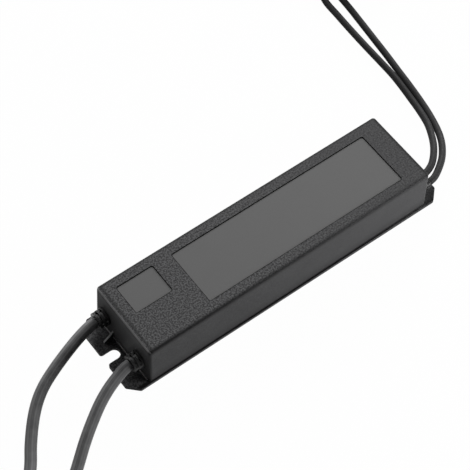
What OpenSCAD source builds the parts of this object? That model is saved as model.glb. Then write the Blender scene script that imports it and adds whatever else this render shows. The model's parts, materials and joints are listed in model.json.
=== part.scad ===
// Electronic neon sign transformer. A moulded case, open below and sealed with resin, holds a circuit
// board with a sectioned high-voltage transformer. Two high-voltage leads leave through ribbed strain
// reliefs at the -X end, and a pair of thin supply leads leaves through bushes at the +X end.
// The long side lies along X. The base is at z = 0 and the origin is at its centre.

/* [Case] */
// Length of the case at its top face
case_length = 163; // [158:1:190]
// Width of the case at its top face
case_width = 42; // [41:0.5:56]
// Height of the case above what it stands on
case_height = 28; // [27.5:0.5:40]
// Thickness of the side and end walls
wall = 2; // [1.6:0.1:2.4]
// Thickness of the top
roof = 2.2; // [1.8:0.1:2.6]
// Draft angle of the walls, which widen downwards
draft = 1.5; // [0.5:0.1:2.5]
// Radius of the upright corners
corner_r = 1.6; // [1.3:0.1:3]
// Radius of the edge round the top face
edge_r = 1.2; // [0.6:0.1:1.3]

/* [Base rim and tabs] */
// Thickness of the rim and of the mounting tabs
rim_thickness = 2.2; // [1.6:0.1:3]
// How far the rim stands out past the foot of the walls
rim_step = 0.5; // [0.3:0.1:1.5]
// How far each mounting tab reaches past the foot of its end wall
tab_length = 10.2; // [9:0.1:16]
// Length of the chamfers on the tabs' outer corners, along each side
tab_chamfer = 5.2; // [3:0.1:6]
// Radius that rounds the tabs' corners
tab_corner_r = 1.2; // [0.6:0.1:2]
// Width of the open slot in each tab
slot_width = 6; // [4:0.1:7]
// Plate left between the slot's round end and the foot of the wall
slot_land = 1.8; // [1.2:0.1:2.5]
// Radius that rounds the slot's two lips
slot_lip_r = 1.3; // [0.6:0.1:1.6]
// Height of the gussets above the tab
gusset_height = 4.9; // [3:0.1:8]
// Length of the gussets along the tab
gusset_reach = 5.3; // [3:0.1:6]
// Thickness of the gussets
gusset_thickness = 0.9; // [0.8:0.1:2]
// Distance of each gusset from the middle of the tab
gusset_y = 7.5; // [6:0.1:8]
// Height and width of the ledge along the foot of each end wall
foot_ledge = 0.5; // [0.3:0.1:0.8]

/* [Labels] */
// Depth of the label recesses in the top face
label_recess = 0.6; // [0.4:0.05:1]
// Thickness of the label films
label_film = 0.2; // [0.1:0.05:0.35]
// Gap round a label film in its recess
label_gap = 0.35; // [0.05:0.05:0.4]
// Radius of the recesses' corners
label_corner_r = 1.2; // [0.8:0.1:2]
// Length of the large label recess
large_label_length = 113.5; // [90:0.5:114]
// Width of the large label recess
large_label_width = 30.5; // [20:0.5:36]
// Length of the small label recess
small_label_length = 20.5; // [12:0.5:21]
// Width of the small label recess
small_label_width = 16.5; // [10:0.5:20]
// Distance from the end of the top face to the small recess
small_label_margin = 7.1; // [3:0.1:8]
// Distance between the two recesses
label_spacing = 9.9; // [6:0.1:12]
// Place of the small recess across the top face
small_label_y = 7.4; // [5:0.1:10]

/* [High-voltage leads] */
// Diameter of a high-voltage lead
hv_lead_d = 5.6; // [4.4:0.1:6]
// Diameter of its tinned conductor
hv_wire_d = 1.7; // [1:0.1:2]
// Distance of each lead from the middle of the end wall
hv_exit_y = 13.5; // [12.5:0.1:13.6]
// Height of the leads at the wall
hv_exit_z = 13; // [12:0.1:16]
// Length of bare conductor at a high-voltage terminal
hv_strip = 5.6; // [5:0.1:6]

/* [Strain reliefs] */
// Diameter of the rings nearest the wall
relief_d = 9; // [8.4:0.1:9.6]
// Diameter of the last ring
relief_end_d = 8.6; // [8.2:0.1:9]
// Diameter between the rings
relief_core_d = 7.2; // [6.8:0.1:7.4]
// How far a relief reaches out of the wall
relief_reach = 5.2; // [4.8:0.1:8]
// Number of rings
relief_rings = 3; // [3:1:4]
// Thickness of a ring
relief_ring_t = 1; // [0.6:0.05:1.2]
// Width of the rails that join the rings along both sides
relief_rail = 2.6; // [1.6:0.1:3.2]
// Diameter of the neck that sits in the wall
relief_neck_d = 7.6; // [7:0.1:8]
// Clearance round the neck in its hole
relief_fit = 0.1; // [0.05:0.01:0.2]
// Diameter of the flange inside the wall
relief_flange_d = 10.2; // [9:0.1:10.6]
// Thickness of the flange inside the wall
relief_flange_t = 1.6; // [1:0.1:2]
// Length of the tapered sleeve inside the case
relief_sleeve = 11; // [6:0.5:12]
// Diameter of the sleeve's inner end
relief_sleeve_d = 6.8; // [6.6:0.1:7]

/* [Supply leads] */
// Diameter of a supply lead
supply_lead_d = 3.6; // [2.8:0.1:3.7]
// Distance between the two supply leads
supply_pitch = 5.2; // [5.1:0.1:5.5]
// Place of the pair across the end wall
supply_exit_y = -13.5; // [-13.6:0.1:-12]
// Height of the supply leads at the wall
supply_exit_z = 9.5; // [9:0.1:12]
// Diameter of a bush outside the wall
bush_d = 4.8; // [4.6:0.1:5]
// How far a bush reaches out of the wall
bush_reach = 5.8; // [4:0.1:8]
// Diameter of a bush inside the wall's hole
bush_neck_d = 4.3; // [4.1:0.1:4.4]
// Clearance round a bush in its hole
bush_fit = 0.1; // [0.05:0.01:0.15]
// Diameter of the bush's flange inside the wall
bush_flange_d = 4.9; // [4.7:0.1:5]
// Thickness of that flange
bush_flange_t = 1.2; // [0.8:0.1:1.5]

/* [Circuit board] */
// Thickness of the board
board_t = 1.6; // [1:0.1:2]
// Height of the board's underside above the base
board_lift = 4.4; // [4:0.1:5]
// Gap between the board and the end walls
board_end_gap = 3; // [2.6:0.1:4]
// Gap between the board and the side walls
board_side_gap = 0.6; // [0.3:0.1:1]
// Height of the resin's surface above the base
resin_recess = 0.8; // [0.4:0.1:1.4]
// Diameter of the posts that carry the board
post_d = 6; // [5:0.1:6.4]
// Distance of the posts from the middle, across the case
post_y = 15.8; // [15.4:0.1:16]
// Diameter of the screws that hold the board
screw_d = 2.5; // [2:0.1:3]
// Length of those screws under the head
screw_length = 8; // [6:0.5:12]
// Thickness of the ribs inside the side walls
rib_t = 1.2; // [0.8:0.1:1.6]
// How far those ribs stand out from the walls
rib_depth = 1.2; // [0.8:0.1:1.3]

/* [High-voltage transformer] */
// Side of the ferrite core's square legs
core_leg = 9; // [7:0.1:9.5]
// Gap between the two core halves
core_gap = 0.2; // [0.1:0.05:0.5]
// Length of the bobbin
bobbin_length = 41; // [36:0.5:42]
// Width of the bobbin's flanges across the case
flange_width = 17.5; // [16:0.1:18]
// Gap between the flanges and the ceiling of the case
bobbin_headroom = 2.3; // [1.5:0.1:4]
// Thickness of the bobbin's flanges
flange_t = 1.1; // [0.8:0.1:1.4]
// Thickness of the bobbin's tube
bobbin_wall = 1; // [0.8:0.1:1.2]
// Width of the primary winding
primary_width = 7.5; // [5:0.1:9]
// Number of secondary sections
sections = 5; // [3:1:6]
// How far the flanges stand out past the windings
winding_inset = 0.95; // [0.8:0.05:1.5]

/* [Supply side parts] */
// Diameter of a reservoir capacitor
reservoir_d = 13; // [10:0.5:13.5]
// Gap between the reservoir capacitors and the ceiling
reservoir_headroom = 1.3; // [0.8:0.1:5]
// Outer diameter of the filter choke's core
choke_d = 17; // [14:0.5:18]
// Height of the filter choke's core
choke_height = 8; // [5:0.5:10]
// Outer diameter of the drive transformer's core
drive_d = 11; // [9:0.5:12]
// Diameter of the fuse
fuse_d = 5.2; // [4.5:0.1:6.3]
// Length of the fuse
fuse_length = 20; // [16:0.5:22]
// Thickness of the heat sink
heat_sink_t = 2; // [1:0.1:2.2]
// Gap between the heat sink and the ceiling
heat_sink_headroom = 1.8; // [0.8:0.1:3]

/* [Hidden] */

// Number of sides with which round things are drawn, and the number for blends made with hull
$fn = 64;
blend_fn = 32;
// Overlap that keeps cuts and joined shapes clean
eps = 0.02;
// Distance that cuts run on past a face
past = 1;

// Half the case's length and width at a height z, with the draft taken in
spread = tan(draft);
function half_x(z) = case_length / 2 + (case_height - z) * spread;
function half_y(z) = case_width / 2 + (case_height - z) * spread;
function inner_x(z) = half_x(z) - wall;
function inner_y(z) = half_y(z) - wall;

foot_x = half_x(rim_thickness);
foot_y = half_y(rim_thickness);
tab_x = foot_x + tab_length;
tab_y = foot_y + rim_step;
slot_end_x = foot_x + slot_land;
slot_centre_x = slot_end_x + slot_width / 2;
inner_corner_r = 0.8;
ceiling = case_height - roof;

small_label_x = -case_length / 2 + small_label_margin + small_label_length / 2;
large_label_x = small_label_x + small_label_length / 2 + label_spacing + large_label_length / 2;

board_top = board_lift + board_t;
board_x = inner_x(board_lift) - board_end_gap;
board_y = inner_y(board_top) - board_side_gap;
headroom = ceiling - board_top;
post_hv_x = -board_x + 23;
post_supply_x = board_x - 15;
screw_places = [for (x = [post_hv_x, post_supply_x], y = [-post_y, post_y]) [x, y]];
pilot_d = screw_d - 0.3;
screw_head_d = 1.9 * screw_d;
screw_head_t = 0.7 * screw_d;

// The relief's rings sit against the wall's outside, which leans, so they clear its lowest point
seat_gap = 0.05;
relief_seat_x = half_x(hv_exit_z - relief_d / 2) + seat_gap;
relief_end_x = relief_seat_x + relief_reach;
relief_flange_x = inner_x(hv_exit_z + relief_flange_d / 2) - seat_gap;
relief_inner_x = relief_flange_x - relief_flange_t - relief_sleeve;
lead_fit = 0.05;
hv_strip_x = relief_inner_x - 3;
hv_terminal_x = -(hv_strip_x - hv_strip + 1.7);

bush_seat_x = half_x(supply_exit_z - bush_d / 2) + seat_gap;
bush_end_x = bush_seat_x + bush_reach;
bush_flange_x = inner_x(supply_exit_z + bush_flange_d / 2) - seat_gap;
supply_front_y = supply_exit_y - supply_pitch / 2;
supply_rear_y = supply_exit_y + supply_pitch / 2;

// The high-voltage capacitors stand beside the terminals
hv_disc_d = 10;
hv_disc_t = 4.4;
hv_disc_places = [hv_terminal_x - 6, hv_terminal_x + 2];
hv_parts_end = hv_disc_places[1] + hv_disc_t / 2;

// The transformer: its bobbin stands on the board and its core's second leg lies behind it
flange_height = headroom - bobbin_headroom;
winding_width = flange_width - 2 * winding_inset;
winding_height = flange_height - 2 * winding_inset;
bobbin_y = -8;
bobbin_z = board_top + flange_height / 2;
core_fit = 0.2;
core_clear = 0.5;
tube_hole = core_leg + 2 * core_fit;
tube_size = tube_hole + 2 * bobbin_wall;
flanges = sections + 2;
section_width = (bobbin_length - flanges * flange_t - primary_width) / sections;
core_window = bobbin_length + 2 * core_fit;
outer_leg_y = bobbin_y + flange_width / 2 + core_clear + core_leg / 2;
core_x = core_window / 2 + core_leg;
core_front = bobbin_y - core_leg / 2;
core_back = outer_leg_y + core_leg / 2;
core_corner = 1.4;
clip_t = 0.4;
clip_width = 6;
clip_front = bobbin_y - 2;

// The large parts stand in a row along the board: the transformer, a reservoir capacitor, the drive
// transformer, the filter choke and the fuse. The length that they leave free is shared out between
// the gaps before, between and after them, in these shares.
choke_wire = 0.9;
drive_wire = 0.6;
choke_span = choke_d + 2 * choke_wire;
drive_span = drive_d + 2 * drive_wire;
fuse_clip_t = 0.5;
fuse_clip_fit = 0.03;
fuse_clip_d = fuse_d + 2 * fuse_clip_fit + 2 * fuse_clip_t;
gap_shares = [0.2, 0.18, 0.1, 0.08, 0.27, 0.17];
free_length = board_x - hv_parts_end - 2 * core_x - reservoir_d - drive_span - choke_span - fuse_clip_d;
gaps = gap_shares * free_length;
transformer_x = hv_parts_end + gaps[0] + core_x;
reservoir_x = transformer_x + core_x + gaps[1] + reservoir_d / 2;
reservoir_end = reservoir_x + reservoir_d / 2;
drive_x = reservoir_end + gaps[2] + drive_span / 2;
choke_x = drive_x + drive_span / 2 + gaps[3] + choke_span / 2;
fuse_x = choke_x + choke_span / 2 + gaps[4] + fuse_clip_d / 2;

// The other parts stand beside those
reservoir_height = headroom - reservoir_headroom;
reservoir_front_y = -5 - reservoir_d / 2;
reservoir_rear_y = reservoir_front_y + reservoir_d + 1.5;
heat_sink_height = headroom - heat_sink_headroom;
heat_sink_x = reservoir_x - 4;
heat_sink_length = 30;
heat_sink_y = board_y - 2.8;
transistor_places = [heat_sink_x + 6.5, heat_sink_x + 22.5];
rib_places = [-board_x + 9, -3, heat_sink_x + heat_sink_length + 5];
rectifier_x = reservoir_end + 3.5;
rectifier_y = -board_y + 1.5;
drive_y = 3;
chip_x = drive_x + 3;
chip_y = -7.5;
choke_y = 3.5;
noise_x = choke_x + 1.6;
noise_y = -9.6;
fuse_y = 2.3;
fuse_z = board_top + fuse_d / 2 + 1.2;
fuse_glass_d = fuse_d - 0.5;
fuse_cap_t = 0.25;
fuse_cap_length = 5;
terminal_depth = 8;
terminal_width = 2 * supply_pitch;
terminal_height = 9.5;
terminal_x = board_x - 2 - terminal_depth;
terminal_entry = 5;
wire_fit = 0.1;

// Behind the core a boxed capacitor and three resistors share the length between post and heat sink
resonant_length = 18;
resistor_span = 9.7;
resistor_count = 3;
back_row_start = post_hv_x + post_d / 2;
back_row_gap = (heat_sink_x - back_row_start - resonant_length - resistor_count * resistor_span)
    / (resistor_count + 2);
resonant_x = back_row_start + back_row_gap + resonant_length / 2;
resonant_y = core_back + 4.4;
resistor_y = core_back + 4.2;
resistor_places = [for (k = [0 : resistor_count - 1]) resonant_x + resonant_length / 2
    + (k + 1) * back_row_gap + (k + 0.5) * resistor_span];

// The coils that hold the stored length of the leads: each is two turns wide and two turns high,
// one stands on the other, and a lead runs into its coil along a straight stretch
turn_gap = 0.1;
hv_coil_r = 30;
hv_coil_at = [-235, -24.5];
hv_lower_angle = -85;
hv_upper_angle = -75;
hv_tie_angle = 100;
hv_stub = 22;
hv_coil_height = 2 * hv_lead_d + turn_gap + 0.1;
supply_coil_r = 18;
supply_coil_at = [151.5, 119];
supply_lower_angle = 175;
supply_upper_angle = 140;
supply_tie_angle = 45;
supply_stub = 12;
supply_coil_height = 2 * supply_lead_d + turn_gap + 0.1;
tie_t = 0.8;
tie_width = 3.6;
tie_fit = 0.15;

function outer_turn(mean_r, d) = mean_r + (d + turn_gap) / 2;
function coil_entry(at, mean_r, d, angle, stub, base) = [
    at[0] + outer_turn(mean_r, d) * cos(angle) - stub * sin(angle),
    at[1] + outer_turn(mean_r, d) * sin(angle) + stub * cos(angle),
    base + d / 2];
function coil_heading(angle) = [sin(angle), -cos(angle), 0];

// Routes of the leads outside the case, from the wall to the straight stretch of their coil
hv_left_route = concat(
    [[-relief_end_x, hv_exit_y, hv_exit_z]],
    [[-92, 12.9, 12.9], [-99, 11.2, 12.3], [-107.5, 8.6, 11], [-116, 5.6, 9.4], [-123.4, 2.4, 7.7],
     [-130, -2, 6.1], [-136.4, -8.2, 4.5], [-143, -16.4, 3.1], [-149.1, -25.3, 2.8], [-157.5, -35, 3.2],
     [-169, -42, 4.8], [-182, -45.2, 8], [-194.3, -47.8, 11.8]],
    [coil_entry(hv_coil_at, hv_coil_r, hv_lead_d, hv_upper_angle, hv_stub, hv_coil_height)]);
hv_right_route = concat(
    [[-relief_end_x, -hv_exit_y, hv_exit_z]],
    [[-92, -14.3, 12.8], [-100.4, -17.1, 12.1], [-108, -20.6, 10.8], [-116, -25.5, 9], [-124, -31.1, 7],
     [-132.9, -38.2, 4.8], [-141, -44.4, 3.3], [-151, -49.9, 2.8], [-164, -52.6, 2.8],
     [-181, -53.5, 2.8], [-197, -54.3, 2.8]],
    [coil_entry(hv_coil_at, hv_coil_r, hv_lead_d, hv_lower_angle, hv_stub, 0)]);
supply_rear_route = concat(
    [[bush_end_x, supply_rear_y, supply_exit_z]],
    [[92, -10.5, 9.4], [97, -8.1, 9], [101.7, -4, 8.2], [106, 0.9, 7], [110.1, 7.2, 5.5],
     [113.6, 14.1, 4], [116.3, 23.2, 2.6], [118, 32, 1.9], [119.2, 40, 1.8], [120.1, 49, 1.8],
     [120.4, 60, 1.8], [120.6, 72, 1.8], [121, 84, 1.8], [121.6, 96, 1.8], [122.2, 107, 2.2],
     [124.4, 115.4, 5.5]],
    [coil_entry(supply_coil_at, supply_coil_r, supply_lead_d, supply_upper_angle, supply_stub,
        supply_coil_height)]);
supply_front_route = concat(
    [[bush_end_x, supply_front_y, supply_exit_z]],
    [[92.5, -15.2, 9.3], [98, -12.2, 8.8], [103.5, -8.2, 7.8], [108.4, -3.1, 6.5], [112.6, 2.8, 5],
     [116.1, 10.1, 3.5], [119.1, 19.1, 2.3], [121.1, 28, 1.8], [122.7, 38, 1.8], [124.2, 49.3, 1.8],
     [125.8, 61, 1.8], [127.2, 73, 1.8], [128.6, 85, 1.8], [129.9, 97, 1.8]],
    [coil_entry(supply_coil_at, supply_coil_r, supply_lead_d, supply_lower_angle, supply_stub, 0)]);
hv_sides = 10;
supply_sides = 8;

// A flat outline with its corners rounded
module rounded_rect(length, width, r) {
    square([length - 2 * r, width], center = true);
    square([length, width - 2 * r], center = true);
    for (x = [-1, 1], y = [-1, 1]) {
        translate([x * (length / 2 - r), y * (width / 2 - r)]) circle(r);
    }
}

// A ring with a rounded rim, as the corner of a moulding with its top edge rounded
module edge_corner(r, edge) {
    rotate_extrude($fn = blend_fn) {
        square([r - edge, edge]);
        intersection() {
            translate([r - edge, 0]) circle(edge, $fn = blend_fn);
            square([r, edge]);
        }
    }
}

// The case's outside without its rim: leaning walls, rounded corners and a rounded top edge
module case_body() {
    hull() {
        for (x = [-1, 1], y = [-1, 1]) {
            translate([
                x * (half_x(case_height - edge_r) - corner_r),
                y * (half_y(case_height - edge_r) - corner_r),
                case_height - edge_r]) edge_corner(corner_r, edge_r);
            translate([x * (half_x(0) - corner_r), y * (half_y(0) - corner_r), 0])
                cylinder(h = eps, r = corner_r, $fn = blend_fn);
        }
    }
}

// The hollow of the case, from a height below the base up to the ceiling
module case_hollow(bottom) {
    hull() {
        for (x = [-1, 1], y = [-1, 1], z = [bottom, ceiling - eps]) {
            translate([x * (inner_x(z) - inner_corner_r), y * (inner_y(z) - inner_corner_r), z])
                cylinder(h = eps, r = inner_corner_r, $fn = blend_fn);
        }
    }
}

// Outline of the rim and its two tabs, with chamfered and rounded corners
module base_outline() {
    chamfer_inset = tab_corner_r * tan(22.5);
    hull() {
        for (x = [-1, 1], y = [-1, 1]) {
            translate([x * (tab_x - tab_corner_r), y * (tab_y - tab_chamfer - chamfer_inset)])
                circle(tab_corner_r, $fn = blend_fn);
            translate([x * (tab_x - tab_chamfer - chamfer_inset), y * (tab_y - tab_corner_r)])
                circle(tab_corner_r, $fn = blend_fn);
        }
    }
}

// The open slot of one tab, with its two lips rounded
module slot_cut() {
    mouth = slot_width / 2 + slot_lip_r;
    translate([slot_centre_x, 0, -past]) cylinder(h = rim_thickness + 2 * past, d = slot_width);
    translate([slot_centre_x, -slot_width / 2, -past])
        cube([tab_x - slot_centre_x + past, slot_width, rim_thickness + 2 * past]);
    difference() {
        translate([tab_x - slot_lip_r, -mouth, -past])
            cube([slot_lip_r + past, 2 * mouth, rim_thickness + 2 * past]);
        for (y = [-1, 1]) {
            translate([tab_x - slot_lip_r, y * mouth, -2 * past])
                cylinder(h = rim_thickness + 4 * past, r = slot_lip_r);
        }
    }
}

// A triangular gusset between a tab and its end wall
module gusset() {
    lean = gusset_height * spread;
    translate([0, gusset_thickness / 2, rim_thickness]) rotate([90, 0, 0])
        linear_extrude(gusset_thickness) polygon([
            [foot_x - wall / 2, -rim_thickness / 2],
            [foot_x + gusset_reach, -rim_thickness / 2],
            [foot_x + gusset_reach, 0],
            [foot_x - lean, gusset_height],
            [foot_x - wall / 2, gusset_height]]);
}

module label_cut(x, y, length, width) {
    translate([x, y, case_height - label_recess])
        linear_extrude(label_recess + past) rounded_rect(length, width, label_corner_r);
}

module case() {
    color("#2a2a2c") {
        difference() {
            union() {
                case_body();
                linear_extrude(rim_thickness) base_outline();
                for (end = [0, 1]) mirror([end, 0, 0]) {
                    for (y = [-1, 1]) translate([0, y * gusset_y, 0]) gusset();
                    translate([foot_x - wall / 2, corner_r - foot_y, rim_thickness - eps])
                        cube([wall / 2 + foot_ledge, 2 * (foot_y - corner_r), foot_ledge + eps]);
                }
            }
            case_hollow(-past);
            for (end = [0, 1]) mirror([end, 0, 0]) slot_cut();
            label_cut(large_label_x, 0, large_label_length, large_label_width);
            label_cut(small_label_x, small_label_y, small_label_length, small_label_width);
            for (y = [-1, 1]) {
                translate([-case_length / 2 - 2 * wall, y * hv_exit_y, hv_exit_z]) rotate([0, 90, 0])
                    cylinder(h = 4 * wall, d = relief_neck_d + 2 * relief_fit);
            }
            for (y = [supply_front_y, supply_rear_y]) {
                translate([case_length / 2 - 2 * wall, y, supply_exit_z]) rotate([0, 90, 0])
                    cylinder(h = 4 * wall, d = bush_neck_d + 2 * bush_fit);
            }
        }
        for (place = screw_places) {
            translate([place[0], place[1], board_top]) difference() {
                cylinder(h = ceiling - board_top + roof / 2, d = post_d);
                translate([0, 0, -eps]) cylinder(h = screw_length, d = pilot_d);
            }
        }
        for (x = rib_places, side = [0, 1]) mirror([0, side, 0]) wall_rib(x);
    }
}

// A rib that stands on a side wall and bears on the board
module wall_rib(x) {
    translate([x - rib_t / 2, 0, 0]) rotate([90, 0, 90]) linear_extrude(rib_t) polygon([
        [inner_y(board_top) - rib_depth, board_top],
        [inner_y(board_top) + wall / 2, board_top],
        [inner_y(ceiling) + wall / 2, ceiling + roof / 2],
        [inner_y(ceiling) - rib_depth, ceiling + roof / 2]]);
}

// A label film in its recess
module label(x, y, length, width) {
    color("#656565") translate([x, y, case_height - label_recess]) linear_extrude(label_film)
        rounded_rect(length - 2 * label_gap, width - 2 * label_gap, label_corner_r - label_gap);
}

module label_large() {
    label(large_label_x, 0, large_label_length, large_label_width);
}

module label_small() {
    label(small_label_x, small_label_y, small_label_length, small_label_width);
}

// Resin poured in from below, which closes the case up to the board
module resin_seal() {
    color("#1c1c1e") difference() {
        intersection() {
            case_hollow(-past);
            translate([-half_x(0), -half_y(0), resin_recess])
                cube([2 * half_x(0), 2 * half_y(0), board_lift - resin_recess]);
        }
        for (place = screw_places) {
            translate([place[0], place[1], board_lift - screw_head_t])
                cylinder(h = screw_head_t + past, d = screw_head_d);
        }
    }
}

// A rail along one side of a relief, which joins its rings and narrows with them
module relief_side_rail() {
    inset = 0.2;
    intersection() {
        translate([-relief_rail / 2, 0, relief_seat_x]) cube([relief_rail, relief_d, relief_reach]);
        translate([0, 0, relief_seat_x])
            cylinder(h = relief_reach, d1 = relief_d - inset, d2 = relief_end_d - inset);
    }
}

// A ribbed strain relief at the origin's height, with its seat planes at their real x, mirrored to -X.
// Between its rings windows are cut through to the lead, at the top and at the bottom.
module strain_relief() {
    pitch = (relief_reach - relief_ring_t) / (relief_rings - 1);
    window = relief_core_d * 0.7;
    rotate([0, 90, 0]) difference() {
        union() {
            translate([0, 0, relief_seat_x]) cylinder(h = relief_reach, d = relief_core_d);
            for (k = [0 : relief_rings - 1]) {
                ring_d = relief_d - (relief_d - relief_end_d) * k / (relief_rings - 1);
                translate([0, 0, relief_seat_x + k * pitch]) cylinder(h = relief_ring_t, d = ring_d);
            }
            for (side = [0, 1]) mirror([0, side, 0]) relief_side_rail();
            translate([0, 0, relief_flange_x - eps])
                cylinder(h = relief_seat_x - relief_flange_x + 2 * eps, d = relief_neck_d);
            translate([0, 0, relief_flange_x - relief_flange_t])
                cylinder(h = relief_flange_t, d = relief_flange_d);
            translate([0, 0, relief_inner_x])
                cylinder(h = relief_sleeve + eps, d1 = relief_sleeve_d, d2 = relief_neck_d);
        }
        translate([0, 0, relief_inner_x - past])
            cylinder(h = relief_end_x - relief_inner_x + 2 * past, d = hv_lead_d + 2 * lead_fit);
        for (k = [0 : relief_rings - 2], side = [0, 1]) {
            mirror([side, 0, 0])
                translate([hv_lead_d / 2 - wall / 2, -window / 2,
                    relief_seat_x + k * pitch + relief_ring_t])
                cube([relief_d, window, pitch - relief_ring_t]);
        }
    }
}

module strain_relief_at(y) {
    color("#202022") translate([0, y, hv_exit_z]) mirror([1, 0, 0]) strain_relief();
}

module strain_relief_left() {
    strain_relief_at(hv_exit_y);
}

module strain_relief_right() {
    strain_relief_at(-hv_exit_y);
}

// A plain round bush with a rounded end, for one supply lead
module supply_bush(y) {
    end_r = 0.4;
    color("#202022") translate([0, y, supply_exit_z]) rotate([0, 90, 0]) difference() {
        union() {
            translate([0, 0, bush_seat_x]) cylinder(h = bush_reach - end_r, d = bush_d);
            translate([0, 0, bush_end_x - end_r]) cylinder(h = end_r, d1 = bush_d, d2 = bush_d - end_r);
            translate([0, 0, bush_flange_x - eps])
                cylinder(h = bush_seat_x - bush_flange_x + 2 * eps, d = bush_neck_d);
            translate([0, 0, bush_flange_x - bush_flange_t])
                cylinder(h = bush_flange_t, d = bush_flange_d);
        }
        translate([0, 0, bush_flange_x - bush_flange_t - past])
            cylinder(h = bush_end_x - bush_flange_x + bush_flange_t + 2 * past,
                d = supply_lead_d + 2 * lead_fit);
    }
}

module supply_bush_front() {
    supply_bush(supply_front_y);
}

module supply_bush_rear() {
    supply_bush(supply_rear_y);
}

module circuit_board() {
    color("#2f5d3a") translate([0, 0, board_lift]) difference() {
        linear_extrude(board_t) rounded_rect(2 * board_x, 2 * board_y, 1);
        for (place = screw_places) {
            translate([place[0], place[1], -past]) cylinder(h = board_t + 2 * past, d = screw_d + 0.3);
        }
    }
}

// The screws that hold the board to the posts, driven from below
module board_screws() {
    color("silver") for (place = screw_places) {
        translate([place[0], place[1], board_lift]) difference() {
            union() {
                translate([0, 0, -screw_head_t]) cylinder(h = screw_head_t, d = screw_head_d);
                cylinder(h = screw_length - past, d = pilot_d - 0.04);
            }
            translate([0, 0, -screw_head_t]) rotate([0, 0, 45])
                cube([screw_head_d * 0.6, 0.6, 1.2], center = true);
            translate([0, 0, -screw_head_t]) rotate([0, 0, -45])
                cube([screw_head_d * 0.6, 0.6, 1.2], center = true);
        }
    }
}

// The high-voltage leads inside their reliefs, with the bare conductors in the terminals
module hv_lead_tails() {
    color("#3b3b3d") for (y = [-hv_exit_y, hv_exit_y]) {
        translate([-relief_end_x, y, hv_exit_z]) rotate([0, 90, 0]) {
            cylinder(h = relief_end_x - hv_strip_x, d = hv_lead_d);
            cylinder(h = relief_end_x - hv_strip_x + hv_strip, d = hv_wire_d);
        }
    }
}

// Turned terminal posts with a cross hole for the conductor
module hv_terminals() {
    color("#b8923c") for (y = [-hv_exit_y, hv_exit_y]) {
        translate([hv_terminal_x, y, board_top]) difference() {
            union() {
                cylinder(h = 1.2, d = 4.8);
                cylinder(h = hv_exit_z - board_top + 2.2, d = 3);
                translate([0, 0, hv_exit_z - board_top + 1.4]) cylinder(h = 0.8, d = 3.8);
            }
            translate([-3, 0, hv_exit_z - board_top]) rotate([0, 90, 0])
                cylinder(h = 6, d = hv_wire_d + 2 * lead_fit);
        }
    }
}

// Two disc capacitors standing on their wires
module hv_capacitors() {
    lift = 1.5;
    edge = 1.2;
    color("#2b5fa8") for (x = hv_disc_places) {
        translate([x, 0, board_top]) {
            translate([0, 0, lift + hv_disc_d / 2]) rotate([0, 90, 0]) rotate_extrude() {
                translate([0, -hv_disc_t / 2]) square([hv_disc_d / 2 - edge, hv_disc_t]);
                translate([0, edge - hv_disc_t / 2]) square([hv_disc_d / 2, hv_disc_t - 2 * edge]);
                for (side = [-1, 1]) {
                    translate([hv_disc_d / 2 - edge, side * (hv_disc_t / 2 - edge)])
                        circle(edge, $fn = blend_fn);
                }
            }
            for (y = [-2.5, 2.5]) translate([0, y, 0]) cylinder(h = lift + 1.5, d = 0.7);
        }
    }
}

// One U of the ferrite core, towards +X; the bobbin sits on its front leg
module core_half() {
    reach = core_x - core_gap / 2;
    translate([core_gap / 2, 0, bobbin_z - core_leg / 2]) linear_extrude(core_leg) difference() {
        translate([0, core_front]) square([reach, core_back - core_front]);
        translate([-past, core_front + core_leg])
            square([core_window / 2 - core_gap / 2 + past, core_back - core_front - 2 * core_leg]);
        for (y = [core_front, core_back]) {
            translate([reach, y]) rotate([0, 0, 45])
                square(core_corner * sqrt(2), center = true);
        }
    }
}

module core_half_supply() {
    color("#38383c") translate([transformer_x, 0, 0]) core_half();
}

module core_half_hv() {
    color("#38383c") translate([transformer_x, 0, 0]) mirror([1, 0, 0]) core_half();
}

// Outline of the core with its outer corners cut, grown by the clip's thickness for its outside
module clip_outline(out) {
    x = core_x + out;
    back = core_back + out;
    cut = core_corner + out * tan(22.5);
    polygon([[-x, clip_front], [x, clip_front], [x, back - cut], [x - cut, back],
        [-x + cut, back], [-x, back - cut]]);
}

// A spring clip that holds the two core halves together from behind
module core_clip() {
    color("silver") translate([transformer_x, 0, bobbin_z - clip_width / 2])
        linear_extrude(clip_width) difference() {
            clip_outline(clip_t);
            clip_outline(0);
            translate([-core_x, clip_front - past]) square([2 * core_x, 2 * past]);
        }
}

// Where a flange of the bobbin starts, counted from the primary at the supply end
function flange_start(k) = k == 0 ? bobbin_length / 2 - flange_t
    : bobbin_length / 2 - flange_t - primary_width - flange_t - (k - 1) * (section_width + flange_t);

// An outline with rounded corners, standing across the X axis
module across(start, thickness, width, height, r) {
    translate([start, 0, 0]) rotate([90, 0, 90]) linear_extrude(thickness)
        rounded_rect(width, height, r);
}

crossover = 1.2;

module bobbin() {
    color("#ded9c8") translate([transformer_x, bobbin_y, bobbin_z]) difference() {
        union() {
            across(-bobbin_length / 2, bobbin_length, tube_size, tube_size, 0.8);
            for (k = [0 : flanges - 1]) {
                across(flange_start(k), flange_t, flange_width, flange_height, 1.2);
            }
        }
        translate([-bobbin_length / 2 - past, -tube_hole / 2, -tube_hole / 2])
            cube([bobbin_length + 2 * past, tube_hole, tube_hole]);
        for (k = [2 : flanges - 2]) {
            translate([flange_start(k) - eps, -crossover, winding_height / 2 - crossover])
                cube([flange_t + 2 * eps, 2 * crossover, flange_height]);
        }
    }
}

// A winding between two flanges
module winding(start, width) {
    difference() {
        across(start, width, winding_width, winding_height, 2.4);
        translate([start - past, -tube_size / 2, -tube_size / 2])
            cube([width + 2 * past, tube_size, tube_size]);
    }
}

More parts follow.
